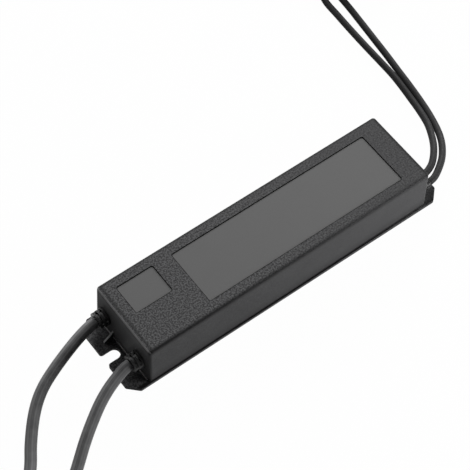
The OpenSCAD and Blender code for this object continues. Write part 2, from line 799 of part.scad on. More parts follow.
module primary_winding() {
    color("#b5652c") translate([transformer_x, bobbin_y, bobbin_z])
        winding(flange_start(1) + flange_t, primary_width);
}

// The sections of the secondary, joined by the wire that crosses each flange in its notch
module secondary_winding() {
    color("#9c4f24") translate([transformer_x, bobbin_y, bobbin_z]) {
        for (k = [2 : flanges - 1]) winding(flange_start(k) + flange_t, section_width);
        for (k = [2 : flanges - 2]) {
            translate([flange_start(k) - crossover, -crossover / 2, (winding_height - crossover) / 2])
                rotate([0, 90, 0]) cylinder(h = flange_t + 2 * crossover, d = crossover * 0.8);
        }
    }
}

// A boxed film capacitor on two short wires
module box_capacitor(length, width, height) {
    lift = 0.5;
    translate([0, 0, lift]) linear_extrude(height) rounded_rect(length, width, 0.6);
    for (x = [-1, 1]) {
        translate([x * length / 3, 0, 0]) cylinder(h = lift + eps, d = 0.8);
    }
}

module resonant_capacitor() {
    color("#b3262a") translate([resonant_x, resonant_y, board_top])
        box_capacitor(resonant_length, 6.4, 13);
}

module noise_capacitor() {
    color("#d9b72b") translate([noise_x, noise_y, board_top]) box_capacitor(12, 6, 11);
}

// Axial resistors lying just above the board on bent wires
module resistors() {
    body_d = 2.4;
    body_length = 6.5;
    wire_d = 0.7;
    span = resistor_span - wire_d;
    lift = 0.4;
    color("#c8a878") for (x = resistor_places) {
        translate([x, resistor_y, board_top]) {
            translate([-body_length / 2, 0, lift + body_d / 2]) rotate([0, 90, 0])
                cylinder(h = body_length, d = body_d);
            translate([-span / 2, 0, lift + body_d / 2]) rotate([0, 90, 0])
                cylinder(h = span, d = wire_d);
            for (side = [-1, 1]) {
                translate([side * span / 2, 0, 0]) cylinder(h = lift + body_d / 2, d = wire_d);
                translate([side * span / 2, 0, lift + body_d / 2]) sphere(d = wire_d);
            }
        }
    }
}

// The transistors' tabs end just under the heat sink's top; their holes' height and diameter
transistor_tab_top = heat_sink_height - 0.6;
transistor_hole_z = transistor_tab_top - 2.6;
transistor_hole_d = 3.2;
transistor_tab_t = 1.3;
transistor_body_t = 4.4;

module heat_sink() {
    color("silver") translate([heat_sink_x, heat_sink_y, board_top]) difference() {
        cube([heat_sink_length, heat_sink_t, heat_sink_height]);
        for (x = transistor_places) {
            translate([x - heat_sink_x, -past, transistor_hole_z]) rotate([-90, 0, 0])
                cylinder(h = heat_sink_t + 2 * past, d = transistor_hole_d - 0.7);
        }
    }
}

// A power transistor with its tab against the heat sink and its three legs in the board
module transistor(x) {
    width = 10;
    body_z = 2;
    body_height = transistor_hole_z - 3.6 - body_z;
    leg = 0.8;
    translate([x, heat_sink_y, board_top]) {
        color("#26262a") translate([-width / 2, -transistor_body_t, body_z])
            cube([width, transistor_body_t, body_height]);
        color("silver") difference() {
            translate([-width / 2, -transistor_tab_t, body_z])
                cube([width, transistor_tab_t, transistor_tab_top - body_z]);
            translate([0, -transistor_tab_t - past, transistor_hole_z]) rotate([-90, 0, 0])
                cylinder(h = transistor_tab_t + 2 * past, d = transistor_hole_d);
        }
        color("silver") for (k = [-1 : 1]) {
            translate([k * 2.54 - leg / 2, -transistor_body_t / 2 - leg / 2, 0])
                cube([leg, leg, body_z + eps]);
        }
    }
}

module transistor_left() {
    transistor(transistor_places[0]);
}

module transistor_right() {
    transistor(transistor_places[1]);
}

module transistor_screws() {
    head_t = 1.8;
    head_d = 5.4;
    color("silver") for (x = transistor_places) {
        translate([x, heat_sink_y - transistor_tab_t, board_top + transistor_hole_z])
            rotate([-90, 0, 0]) {
                translate([0, 0, -head_t]) cylinder(h = head_t, d = head_d);
                cylinder(h = transistor_tab_t + heat_sink_t - 0.2, d = transistor_hole_d - 0.74);
            }
    }
}

// An upright electrolytic capacitor: crimped can with a rounded shoulder
module reservoir_capacitor(y) {
    groove_z = 2;
    groove_t = 1;
    color("#22303c") translate([reservoir_x, y, board_top]) difference() {
        union() {
            cylinder(h = reservoir_height - 0.8, d = reservoir_d);
            translate([0, 0, reservoir_height - 0.8])
                cylinder(h = 0.8, d1 = reservoir_d, d2 = reservoir_d - 1.6);
        }
        translate([0, 0, groove_z]) difference() {
            cylinder(h = groove_t, d = reservoir_d + 2);
            translate([0, 0, -eps]) cylinder(h = groove_t + 2 * eps, d = reservoir_d - 0.8);
        }
        for (a = [0, 90]) {
            translate([0, 0, reservoir_height]) rotate([0, 0, a])
                cube([reservoir_d * 0.6, 0.4, 0.4], center = true);
        }
    }
}

module reservoir_capacitor_front() {
    reservoir_capacitor(reservoir_front_y);
}

module reservoir_capacitor_rear() {
    reservoir_capacitor(reservoir_rear_y);
}

module bridge_rectifier() {
    length = 18;
    thickness = 3.6;
    lift = 2;
    height = 13;
    color("#26262a") translate([rectifier_x, rectifier_y, board_top]) {
        difference() {
            translate([0, 0, lift]) cube([length, thickness, height]);
            translate([-eps, -eps, lift + height - 2]) rotate([0, -45, 0])
                cube([4, thickness + 2 * eps, 4]);
        }
        for (k = [0 : 3]) {
            translate([2.2 + k * (length - 4.4) / 3 - 0.5, thickness / 2 - 0.4, 0])
                cube([1, 0.8, lift + eps]);
        }
    }
}

// A ring core lying flat, with its edges rounded
module ring_core(d, height) {
    hole = d * 0.5;
    edge = 0.8;
    rotate_extrude() translate([(d + hole) / 4, height / 2])
        rounded_rect((d - hole) / 2, height, edge);
}

// Turns wound round a ring core over part of its circle
module ring_winding(d, height, wire, start, sweep) {
    hole = d * 0.5;
    fit = 0.05;
    rotate([0, 0, start]) rotate_extrude(angle = sweep) translate([(d + hole) / 4, height / 2])
        difference() {
            rounded_rect((d - hole) / 2 + 2 * wire, height + 2 * wire, 1);
            rounded_rect((d - hole) / 2 + 2 * fit, height + 2 * fit, 0.8);
        }
}

module drive_core() {
    color("#3c5a3c") translate([drive_x, drive_y, board_top + drive_wire]) ring_core(drive_d, 5);
}

module drive_winding() {
    color("#c07030") translate([drive_x, drive_y, board_top + drive_wire])
        for (start = [20, 140, 260]) ring_winding(drive_d, 5, drive_wire, start, 80);
}

module choke_core() {
    color("#3c5a3c") translate([choke_x, choke_y, board_top + choke_wire])
        ring_core(choke_d, choke_height);
}

module choke_windings() {
    color("#c07030") translate([choke_x, choke_y, board_top + choke_wire])
        for (start = [20, 200]) ring_winding(choke_d, choke_height, choke_wire, start, 140);
}

// An eight-legged chip: a body with a notch, and legs bent down into the board
module control_chip() {
    length = 9.6;
    width = 6.4;
    lift = 0.6;
    height = 3.2;
    pin_pitch = 2.54;
    pin_t = 0.3;
    color("#26262a") translate([chip_x, chip_y, board_top]) {
        difference() {
            translate([-length / 2, -width / 2, lift]) cube([length, width, height]);
            translate([-length / 2, 0, lift + height - 0.6]) cylinder(h = past, d = 1.8);
        }
        for (k = [0 : 3], side = [0, 1]) {
            mirror([0, side, 0]) translate([(k - 1.5) * pin_pitch - 0.35, 0, 0]) {
                translate([0, width / 2 - eps, lift + height / 2]) cube([0.7, 0.6, pin_t]);
                translate([0, width / 2 + 0.6 - pin_t, 0]) cube([0.7, pin_t, lift + height / 2 + eps]);
            }
        }
    }
}

// The glass tube of the fuse
module fuse_glass() {
    color("#c9d6da") translate([fuse_x, fuse_y - fuse_length / 2, fuse_z]) rotate([-90, 0, 0])
        translate([0, 0, fuse_cap_t]) difference() {
            cylinder(h = fuse_length - 2 * fuse_cap_t, d = fuse_glass_d);
            translate([0, 0, -past]) cylinder(h = fuse_length, d = fuse_glass_d - 1.4);
        }
}

// The two caps over the ends of the fuse
module fuse_caps() {
    color("silver") for (side = [0, 1]) {
        translate([fuse_x, fuse_y, fuse_z]) mirror([0, side, 0]) rotate([-90, 0, 0])
            translate([0, 0, fuse_length / 2 - fuse_cap_length]) difference() {
                cylinder(h = fuse_cap_length, d = fuse_d);
                translate([0, 0, -past])
                    cylinder(h = fuse_cap_length - fuse_cap_t + past, d = fuse_glass_d);
            }
    }
}

// Two spring clips that hold the fuse by its caps
module fuse_clips() {
    width = 4;
    color("#c8b070") for (side = [-1, 1]) {
        translate([fuse_x, fuse_y + side * (fuse_length / 2 - fuse_cap_length / 2) + width / 2, 0])
            rotate([90, 0, 0]) linear_extrude(width) difference() {
                union() {
                    translate([0, fuse_z]) circle(d = fuse_clip_d);
                    translate([-1.6, board_top]) square([3.2, fuse_z - board_top]);
                }
                translate([0, fuse_z]) circle(d = fuse_d + 2 * fuse_clip_fit);
                translate([-fuse_d * 0.3, fuse_z]) square([fuse_d * 0.6, fuse_clip_d]);
            }
    }
}

// The block in which the supply leads are clamped
module supply_terminal() {
    color("#2f6f8f") translate([terminal_x, supply_exit_y - terminal_width / 2, board_top])
        difference() {
            cube([terminal_depth, terminal_width, terminal_height]);
            for (y = [-1, 1]) {
                translate([terminal_depth - terminal_entry, terminal_width / 2 + y * supply_pitch / 2,
                    supply_exit_z - board_top]) rotate([0, 90, 0])
                    cylinder(h = terminal_entry + past, d = supply_lead_d + 2 * wire_fit);
                translate([terminal_depth / 2, terminal_width / 2 + y * supply_pitch / 2,
                    terminal_height - 2.5]) cylinder(h = 2.5 + past, d = 3.4);
            }
        }
}

module terminal_screws() {
    color("silver") for (y = [supply_front_y, supply_rear_y]) {
        translate([terminal_x + terminal_depth / 2, y, board_top + terminal_height - 2.5])
            difference() {
                cylinder(h = 1.8, d = 3.2);
                translate([0, 0, 1.8]) cube([3.4, 0.6, 1.2], center = true);
            }
    }
}

// The supply leads inside their bushes and the terminal block
module supply_lead_tails() {
    start = terminal_x + terminal_depth - terminal_entry;
    color("#3b3b3d") for (y = [supply_front_y, supply_rear_y]) {
        translate([start, y, supply_exit_z]) rotate([0, 90, 0])
            cylinder(h = bush_end_x - start, d = supply_lead_d);
    }
}

// A tube swept along its route: one ring of points for each point of the route
function unit(v) = v / norm(v);
function lean_along(route, k, first, last) = k == 0 ? first : k == len(route) - 1 ? last
    : unit(unit(route[k + 1] - route[k]) + unit(route[k] - route[k - 1]));
function tube_ring(centre, along, d, sides) =
    let (across = unit(cross([0, 0, 1], along)), up = cross(along, across))
    [for (k = [0 : sides - 1]) let (a = 360 * (k + 0.5) / sides)
        centre + d / 2 * (cos(a) * across + sin(a) * up)];

module swept_tube(route, d, sides, first, last) {
    count = len(route);
    points = [for (k = [0 : count - 1])
        each tube_ring(route[k], lean_along(route, k, first, last), d, sides)];
    skin = [for (k = [0 : count - 2], j = [0 : sides - 1]) let (
        a = k * sides + j,
        b = k * sides + (j + 1) % sides,
        c = b + sides,
        e = a + sides)
        each [[a, b, c], [a, c, e]]];
    polyhedron(
        points,
        concat(
            [[for (j = [sides - 1 : -1 : 0]) j]],
            skin,
            [[for (j = [0 : sides - 1]) (count - 1) * sides + j]]));
}

module hv_lead_left() {
    color("#454547") swept_tube(hv_left_route, hv_lead_d, hv_sides, [-1, 0, 0],
        coil_heading(hv_upper_angle));
}

module hv_lead_right() {
    color("#454547") swept_tube(hv_right_route, hv_lead_d, hv_sides, [-1, 0, 0],
        coil_heading(hv_lower_angle));
}

module supply_lead_front() {
    color("#454547") swept_tube(supply_front_route, supply_lead_d, supply_sides, [1, 0, 0],
        coil_heading(supply_lower_angle));
}

module supply_lead_rear() {
    color("#454547") swept_tube(supply_rear_route, supply_lead_d, supply_sides, [1, 0, 0],
        coil_heading(supply_upper_angle));
}

// Outer shape of a coil, with the straight stretch by which its lead comes in
module coil(at, base, mean_r, d, angle, stub) {
    width = 2 * d + turn_gap + 0.1;
    translate([at[0], at[1], base]) {
        rotate_extrude() translate([mean_r, width / 2]) rounded_rect(width, width, d / 2 - 0.2);
        rotate([0, 0, angle]) translate([outer_turn(mean_r, d), 0, d / 2]) rotate([-90, 0, 0])
            cylinder(h = stub, d = d);
    }
}

// The loop of a tie round two coils, seen along its strap
module tie_loop(at, mean_r, d, angle, grow, strap) {
    width = 2 * d + turn_gap + 0.1;
    height = 2 * width;
    reach = width / 2 + tie_fit + grow;
    translate([at[0], at[1], 0]) rotate([0, 0, angle])
        translate([mean_r - reach, -strap / 2, tie_t - grow])
        cube([2 * reach, strap, height - tie_t + tie_fit + 2 * grow]);
}

module tie(at, mean_r, d, angle) {
    head = 2.6;
    width = 2 * d + turn_gap + 0.1;
    color("#1a1a1c") {
        difference() {
            tie_loop(at, mean_r, d, angle, tie_t, tie_width);
            tie_loop(at, mean_r, d, angle, 0, tie_width + 2 * past);
        }
        translate([at[0], at[1], 0]) rotate([0, 0, angle])
            translate([mean_r - head, -tie_width / 2 - 0.5, 2 * width + tie_fit + tie_t / 2])
            cube([2 * head, tie_width + 1, head]);
    }
}

module hv_coil_lower() {
    color("#454547") difference() {
        coil(hv_coil_at, 0, hv_coil_r, hv_lead_d, hv_lower_angle, hv_stub);
        translate([hv_coil_at[0], hv_coil_at[1], -past]) rotate([0, 0, hv_tie_angle])
            translate([0, -tie_width / 2 - tie_fit, 0])
            cube([2 * hv_coil_r, tie_width + 2 * tie_fit, past + tie_t + tie_fit]);
    }
}

module hv_coil_upper() {
    color("#454547")
        coil(hv_coil_at, hv_coil_height, hv_coil_r, hv_lead_d, hv_upper_angle, hv_stub);
}

module hv_coil_tie() {
    tie(hv_coil_at, hv_coil_r, hv_lead_d, hv_tie_angle);
}

module supply_coil_lower() {
    color("#454547") difference() {
        coil(supply_coil_at, 0, supply_coil_r, supply_lead_d, supply_lower_angle, supply_stub);
        translate([supply_coil_at[0], supply_coil_at[1], -past]) rotate([0, 0, supply_tie_angle])
            translate([0, -tie_width / 2 - tie_fit, 0])
            cube([2 * supply_coil_r, tie_width + 2 * tie_fit, past + tie_t + tie_fit]);
    }
}

module supply_coil_upper() {
    color("#454547") coil(supply_coil_at, supply_coil_height, supply_coil_r, supply_lead_d,
        supply_upper_angle, supply_stub);
}

module supply_coil_tie() {
    tie(supply_coil_at, supply_coil_r, supply_lead_d, supply_tie_angle);
}

case();
label_large();
label_small();
resin_seal();
strain_relief_left();
strain_relief_right();
supply_bush_front();
supply_bush_rear();
circuit_board();
board_screws();
hv_lead_tails();
hv_terminals();
hv_capacitors();
core_half_hv();
core_half_supply();
core_clip();
bobbin();
primary_winding();
secondary_winding();
resonant_capacitor();
resistors();
heat_sink();
transistor_left();
transistor_right();
transistor_screws();
reservoir_capacitor_front();
reservoir_capacitor_rear();
bridge_rectifier();
drive_core();
drive_winding();
control_chip();
choke_core();
choke_windings();
noise_capacitor();
fuse_glass();
fuse_caps();
fuse_clips();
supply_terminal();
terminal_screws();
supply_lead_tails();
hv_lead_left();
hv_lead_right();
hv_coil_lower();
hv_coil_upper();
hv_coil_tie();
supply_lead_front();
supply_lead_rear();
supply_coil_lower();
supply_coil_upper();
supply_coil_tie();
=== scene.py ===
"""Looks of an electronic neon sign transformer: a grained black moulding with two grey label films,
two thick high-voltage leads at one end and two thin supply leads at the other."""

import json
import math

import bmesh
import bpy
from mathutils import Matrix, Vector


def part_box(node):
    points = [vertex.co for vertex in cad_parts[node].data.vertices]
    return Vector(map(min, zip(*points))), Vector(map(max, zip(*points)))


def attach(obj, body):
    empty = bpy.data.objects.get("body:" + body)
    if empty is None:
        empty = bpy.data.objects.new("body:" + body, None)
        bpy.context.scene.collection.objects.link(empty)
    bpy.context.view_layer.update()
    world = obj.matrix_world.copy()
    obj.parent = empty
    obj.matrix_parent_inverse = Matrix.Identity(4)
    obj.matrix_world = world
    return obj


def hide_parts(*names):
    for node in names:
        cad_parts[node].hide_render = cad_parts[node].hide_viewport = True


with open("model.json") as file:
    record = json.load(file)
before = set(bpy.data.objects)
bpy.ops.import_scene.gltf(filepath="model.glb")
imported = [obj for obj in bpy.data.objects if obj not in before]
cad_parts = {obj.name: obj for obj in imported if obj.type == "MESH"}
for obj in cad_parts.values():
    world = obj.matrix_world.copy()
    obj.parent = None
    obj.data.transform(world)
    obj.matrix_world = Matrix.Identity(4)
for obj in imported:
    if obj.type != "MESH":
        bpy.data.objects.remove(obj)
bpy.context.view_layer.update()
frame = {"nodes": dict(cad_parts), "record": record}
scene = bpy.context.scene

MM = 0.001
UP = Vector((0, 0, 1))

# The camera: the direction it looks from, how it is rolled, and its lens for a square picture
VIEW_AZIMUTH = math.radians(230.385)
VIEW_ELEVATION = math.radians(58.221)
VIEW_ROLL = math.radians(3.202)
VIEW_DISTANCE = 0.796043
VIEW_RIGHT = -0.013923
VIEW_UP = 0.012261
LENS = 127.71
SENSOR = 36
CLIP_START = 0.01
CLIP_END = 20


def place_camera():
    back = Vector((
        math.cos(VIEW_ELEVATION) * math.cos(VIEW_AZIMUTH),
        math.cos(VIEW_ELEVATION) * math.sin(VIEW_AZIMUTH),
        math.sin(VIEW_ELEVATION)))
    level = UP.cross(back).normalized()
    upright = back.cross(level)
    right = level * math.cos(VIEW_ROLL) + upright * math.sin(VIEW_ROLL)
    up = upright * math.cos(VIEW_ROLL) - level * math.sin(VIEW_ROLL)
    data = bpy.data.cameras.new("camera")
    data.lens = LENS
    data.sensor_width = SENSOR
    data.sensor_fit = "HORIZONTAL"
    data.clip_start = CLIP_START
    data.clip_end = CLIP_END
    camera = bpy.data.objects.new("camera", data)
    place = back * VIEW_DISTANCE + right * VIEW_RIGHT + up * VIEW_UP
    camera.matrix_world = Matrix((
        (right.x, up.x, back.x, place.x),
        (right.y, up.y, back.y, place.y),
        (right.z, up.z, back.z, place.z),
        (0, 0, 0, 1)))
    scene.collection.objects.link(camera)
    scene.camera = camera


place_camera()

# Leads. The sizes and routes are those of the CAD, here in millimetres until they become points.
TURN_GAP = 0.1
STACK_GAP = 0.1
BARE_END = 6.0
ARC_STEP = 5.0
ROUTE_STEP = 1.6
LAST_STRAIGHT = 2.0

# A pair of leads: diameters, and the length of one in metres, then the centre and the mean radius of its
# coils, where the tie sits, and how far before the coil the lead already points into it
HV = {
    "d": 5.6, "wire_d": 1.7, "length": 0.7,
    "at": (-235, -24.5), "mean_r": 30, "tie_angle": 100, "lead_in": 22}
SUPPLY = {
    "d": 3.6, "wire_d": 1.2, "length": 0.45,
    "at": (151.5, 119), "mean_r": 18, "tie_angle": 45, "lead_in": 12}

HV_EXIT_X = -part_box("hv_lead_tails")[0].x / MM
SUPPLY_EXIT_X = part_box("supply_lead_tails")[1].x / MM

HV_LEFT_ROUTE = [
    (-HV_EXIT_X, 13.5, 13), (-92, 12.9, 12.9), (-99, 11.2, 12.3), (-107.5, 8.6, 11), (-116, 5.6, 9.4),
    (-123.4, 2.4, 7.7), (-130, -2, 6.1), (-136.4, -8.2, 4.5), (-143, -16.4, 3.1), (-149.1, -25.3, 2.8),
    (-157.5, -35, 3.2), (-169, -42, 4.8), (-182, -45.2, 8), (-194.3, -47.8, 11.8)]
HV_RIGHT_ROUTE = [
    (-HV_EXIT_X, -13.5, 13), (-92, -14.3, 12.8), (-100.4, -17.1, 12.1), (-108, -20.6, 10.8),
    (-116, -25.5, 9), (-124, -31.1, 7), (-132.9, -38.2, 4.8), (-141, -44.4, 3.3), (-151, -49.9, 2.8),
    (-164, -52.6, 2.8), (-181, -53.5, 2.8), (-197, -54.3, 2.8)]
SUPPLY_REAR_ROUTE = [
    (SUPPLY_EXIT_X, -10.9, 9.5), (92, -10.5, 9.4), (97, -8.1, 9), (101.7, -4, 8.2), (106, 0.9, 7),
    (110.1, 7.2, 5.5), (113.6, 14.1, 4), (116.3, 23.2, 2.6), (118, 32, 1.9), (119.2, 40, 1.8),
    (120.1, 49, 1.8), (120.4, 60, 1.8), (120.6, 72, 1.8), (121, 84, 1.8), (121.6, 96, 1.8),
    (122.2, 107, 2.2), (124.4, 115.4, 5.5)]
SUPPLY_FRONT_ROUTE = [
    (SUPPLY_EXIT_X, -16.1, 9.5), (92.5, -15.2, 9.3), (98, -12.2, 8.8), (103.5, -8.2, 7.8),
    (108.4, -3.1, 6.5), (112.6, 2.8, 5), (116.1, 10.1, 3.5), (119.1, 19.1, 2.3), (121.1, 28, 1.8),
    (122.7, 38, 1.8), (124.2, 49.3, 1.8), (125.8, 61, 1.8), (127.2, 73, 1.8), (128.6, 85, 1.8),
    (129.9, 97, 1.8)]

# Crossings of a coil's first three turns: the degree of the turn at which each starts, and how many it takes
INWARD = (215, 110)
UPWARD = (115, 95)
OUTWARD = (5, 110)

# A nylon tie: its strap, its head and its tail, as sizes away from the coil, along the strap's width and up
STRAP_T = 0.8
STRAP_WIDTH = 3.6
STRAP_EASE = 0.15
STRAP_CLEARANCE = 0.1
STRAP_TOP_CLEARANCE = 0.15
STRAP_CORNER_SHARE = 0.42
CORNER_STEPS = 6
HEAD = Vector((4.6, STRAP_WIDTH + 1.6, 3.2))
HEAD_SUNK = 0.1
HEAD_EASE = 0.5
TAIL = Vector((9, STRAP_WIDTH - 0.2, STRAP_T))
TAIL_IN_HEAD = 0.5
TAIL_RISE = HEAD.z * 0.55
TAIL_EASE = 0.2
TOOTH = Vector((0.35, STRAP_WIDTH - 1.4, 0.3))
TOOTH_EASE = 0.08
TOOTH_PROUD = 0.05
TOOTH_START = 0.6
TOOTH_PITCH = 0.9
TEETH = 9

# How a lead rises over the strap below it: clearance, and reach to each side in degrees
LIFT_CLEARANCE = 0.05
LIFT_REACH = 13

# Meshes: sides of a tube and the easing of its cut rims, and the strands of a bare end
TUBE_SIDES = 24
RIM_EASE = 0.3
RIM_SHARE = 0.6
STRANDS = 7
STRAND_SIDES = 8
STRAND_STEP = 0.5
STRAND_TWIST = 0.225
STRAND_OVERLAP = 1.0
SHARP_FROM = math.radians(40)


def smooth(x):
    x = min(1.0, max(0.0, x))
    return x * x * (3 - 2 * x)


def crossed(angle, crossing):
    """How far a crossing has come, from 0 to 1."""
    start, takes = crossing
    return smooth((angle - start) / takes)


def coil_slot(turned):
    """Place in the coil after a turn through so many degrees: 0 inner to 1 outer, and 0 low to 1 high."""
    turn, angle = divmod(turned, 360)
    if turn == 0:
        return 1 - crossed(angle, INWARD), 0
    if turn == 1:
        return 0, crossed(angle, UPWARD)
    if turn == 2:
        return crossed(angle, OUTWARD), 1
    return 1, 1


def coil_point(pair, base, entry, turned):
    """A point of the winding, which is lifted a little where the tie's strap passes under it."""
    out, high = coil_slot(turned)
    pitch = pair["d"] + TURN_GAP
    r = pair["mean_r"] + (out - 0.5) * pitch
    angle = entry - turned
    away = (angle - pair["tie_angle"] + 180) % 360 - 180
    lift = (STRAP_T + LIFT_CLEARANCE) * math.exp(-(away / LIFT_REACH) ** 2)
    return Vector((
        pair["at"][0] + r * math.cos(math.radians(angle)),
        pair["at"][1] + r * math.sin(math.radians(angle)),
        base + pair["d"] / 2 + high * pitch + lift))


def coil_height(pair):
    """Height of one lead's coil with the gap above it, where the second lead's coil starts."""
    return 2 * pair["d"] + TURN_GAP + STACK_GAP


def spline(points, step):
    """A smooth curve through the points, with a point about every step."""
    ends = [points[0] * 2 - points[1]] + points + [points[-1] * 2 - points[-2]]
    result = []
    for a, b, c, d in zip(ends, ends[1:], ends[2:], ends[3:]):
        count = max(2, round((c - b).length / step))
        for k in range(count):
            t = k / count
            result.append(0.5 * (
                2 * b + (c - a) * t + (2 * a - 5 * b + 4 * c - d) * t ** 2
                + (3 * b - a - 3 * c + d) * t ** 3))
    return result + [points[-1]]


def lead_path(route, pair, base, entry):
    """The route, the straight stretch into the coil, and as many turns as use up the length.

    The lead meets its coil at the entry angle in degrees, and the coil's underside is at height base."""
    start = coil_point(pair, base, entry, 0)
    heading = Vector((math.sin(math.radians(entry)), -math.cos(math.radians(entry)), 0))
    before = start - heading * LAST_STRAIGHT
    points = spline([Vector(p) for p in route] + [start - heading * pair["lead_in"], before], ROUTE_STEP)
    points.append(start)
    left = pair["length"] / MM - sum((b - a).length for a, b in zip(points, points[1:]))
    turned = 0
    while left > 0:
        turned += ARC_STEP
        new = coil_point(pair, base, entry, turned)
        stretch = (new - points[-1]).length
        if stretch > left:
            new = points[-1].lerp(new, left / stretch)
        left -= stretch
        points.append(new)
    return points


def cut_path(points, back):
    """The path without its last stretch, and that stretch."""
    kept = list(points)
    rest = [kept[-1]]
    while back > 0:
        last = kept.pop()
        stretch = (last - kept[-1]).length
        if stretch > back:
            cut = last.lerp(kept[-1], back / stretch)
            kept.append(cut)
            rest.append(cut)
            break
        rest.append(kept[-1])
        back -= stretch
    return kept, rest[::-1]


def new_object(name, mesh_data):
    obj = bpy.data.objects.new(name, mesh_data)
    scene.collection.objects.link(obj)
    return obj


def smooth_object(name, bm):
    """An object of the mesh, shaded smooth but for its sharp edges."""
    data = bpy.data.meshes.new(name)
    bm.to_mesh(data)
    bm.free()
    data.shade_smooth()
    data.set_sharp_from_angle(angle=SHARP_FROM)
    return new_object(name, data)


def closed_object(name, bm):
    bmesh.ops.recalc_face_normals(bm, faces=bm.faces)
    return smooth_object(name, bm)


def join_rings(bm, rings):
    """Walls between each ring of points and the next."""
    for low, high in zip(rings, rings[1:]):
        for j in range(len(low)):
            i = (j + 1) % len(low)
            bm.faces.new((low[j], low[i], high[i], high[j]))


def close_tube(bm, rings):
    join_rings(bm, rings)
    bm.faces.new(rings[0][::-1])
    bm.faces.new(rings[-1])


def direction(line, k):
    """Which way the line runs at its point k."""
    return (line[min(k + 1, len(line) - 1)] - line[max(k - 1, 0)]).normalized()


def circle_angles(count):
    return [2 * math.pi * j / count for j in range(count)]


def tube(name, points, d):
    """A round tube along the points in millimetres, with flat ends whose rims are eased.

    Its attribute around says where on the circle a point is, for lengthwise streaks that are partly texture
    of the jacket and partly painted sheen."""
    bm = bmesh.new()
    around = bm.verts.layers.float_vector.new("around")
    along = (points[1] - points[0]).normalized()
    side = along.cross(UP).normalized()
    first = points[0] + along * RIM_EASE
    last = points[-1] - (points[-1] - points[-2]).normalized() * RIM_EASE
    between = [p for p in points[1:-1] if (p - first).length > RIM_EASE and (p - last).length > RIM_EASE]
    line = [points[0], first, *between, last, points[-1]]
    rings = []
    for k, p in enumerate(line):
        along = direction(line, k)
        side = (side - along * side.dot(along)).normalized()
        other = along.cross(side)
        r = d / 2
        if k in (0, len(line) - 1):
            r -= RIM_EASE * RIM_SHARE
        ring = []
        for a in circle_angles(TUBE_SIDES):
            vert = bm.verts.new((p + r * (side * math.cos(a) + other * math.sin(a))) * MM)
            vert[around] = (math.cos(a), math.sin(a), 0)
            ring.append(vert)
        rings.append(ring)
    close_tube(bm, rings)
    return closed_object(name, bm)


def strands(name, points, d):
    """The bare end of a lead: strands twisted about the middle one, three of them across its diameter."""
    bm = bmesh.new()
    r = d / 6
    line = spline(points, STRAND_STEP)
    for out, start in [(0.0, 0.0)] + [(d / 2 - r, a) for a in circle_angles(STRANDS - 1)]:
        rings = []
        for k, p in enumerate(line):
            along = direction(line, k)
            side = along.cross(UP).normalized()
            other = along.cross(side)
            turn = start + STRAND_TWIST * k
            centre = p + out * (side * math.cos(turn) + other * math.sin(turn))
            rings.append([
                bm.verts.new((centre + r * (side * math.cos(a) + other * math.sin(a))) * MM)
                for a in circle_angles(STRAND_SIDES)])
        close_tube(bm, rings)
    return closed_object(name, bm)


# Every visual piece with its material slot, to be painted once the materials are made
dressed = []


def dress(piece, slot, *nodes):
    """Gives a piece its body and its slot, and hides the nodes that it stands for."""
    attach(piece, "root")
    if nodes:
        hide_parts(*nodes)
    dressed.append((piece, slot))


def strap_loop(pair):
    """Points inside a strap round both coils, as places out and up, and the way each one faces."""
    stack = coil_height(pair)
    half = stack / 2 + STRAP_CLEARANCE
    top = 2 * stack + STRAP_T + STRAP_TOP_CLEARANCE
    corner = pair["d"] * STRAP_CORNER_SHARE
    loop = []
    for x, z, start in ((half, top, 0), (-half, top, 90), (-half, STRAP_T, 180), (half, STRAP_T, 270)):
        middle = Vector((x - math.copysign(corner, x), z - corner if z == top else z + corner))
        for k in range(CORNER_STEPS + 1):
            a = math.radians(start + 90 * k / CORNER_STEPS)
            facing = Vector((math.cos(a), math.sin(a)))
            loop.append((middle + corner * facing, facing))
    return loop, top


def make_tie(name, pair, node):
    """A ribbed nylon tie round both coils: its strap, its head and the strap's free end."""
    bm = bmesh.new()
    angle = math.radians(pair["tie_angle"])
    out = Vector((math.cos(angle), math.sin(angle), 0))
    along = Vector((-math.sin(angle), math.cos(angle), 0))
    centre = Vector((*pair["at"], 0)) + out * pair["mean_r"]
    loop, top = strap_loop(pair)
    side = STRAP_WIDTH / 2
    section = [
        (-side, STRAP_EASE), (-side + STRAP_EASE, 0), (side - STRAP_EASE, 0), (side, STRAP_EASE),
        (side, STRAP_T - STRAP_EASE), (side - STRAP_EASE, STRAP_T),
        (-side + STRAP_EASE, STRAP_T), (-side, STRAP_T - STRAP_EASE)]
    rings = []
    for p, facing in loop:
        ring = []
        for width, height in section:
            q = p + facing * height
            ring.append(bm.verts.new((centre + out * q.x + UP * q.y + along * width) * MM))
        rings.append(ring)
    join_rings(bm, rings + rings[:1])

    def block(size, out_by, up_by, ease):
        verts = bmesh.ops.create_cube(bm, size=1)["verts"]
        for v in verts:
            v.co = (centre + out * (out_by + v.co.x * size.x) + along * (v.co.y * size.y)
                    + UP * (up_by + v.co.z * size.z)) * MM
        edges = {e for v in verts for e in v.link_edges}
        bmesh.ops.bevel(bm, geom=list(edges), offset=ease * MM, segments=2, affect="EDGES")

    block(HEAD, 0, top + HEAD.z / 2 - HEAD_SUNK, HEAD_EASE)
    block(TAIL, -HEAD.x / 2 - TAIL.x / 2 + TAIL_IN_HEAD, top + TAIL_RISE, TAIL_EASE)
    teeth_up = top + TAIL_RISE + STRAP_T / 2 + TOOTH_PROUD
    for k in range(TEETH):
        block(TOOTH, -HEAD.x / 2 - TOOTH_START - k * TOOTH_PITCH, teeth_up, TOOTH_EASE)
    piece = closed_object(name, bm)
    dress(piece, "tie_nylon", node)
    return piece


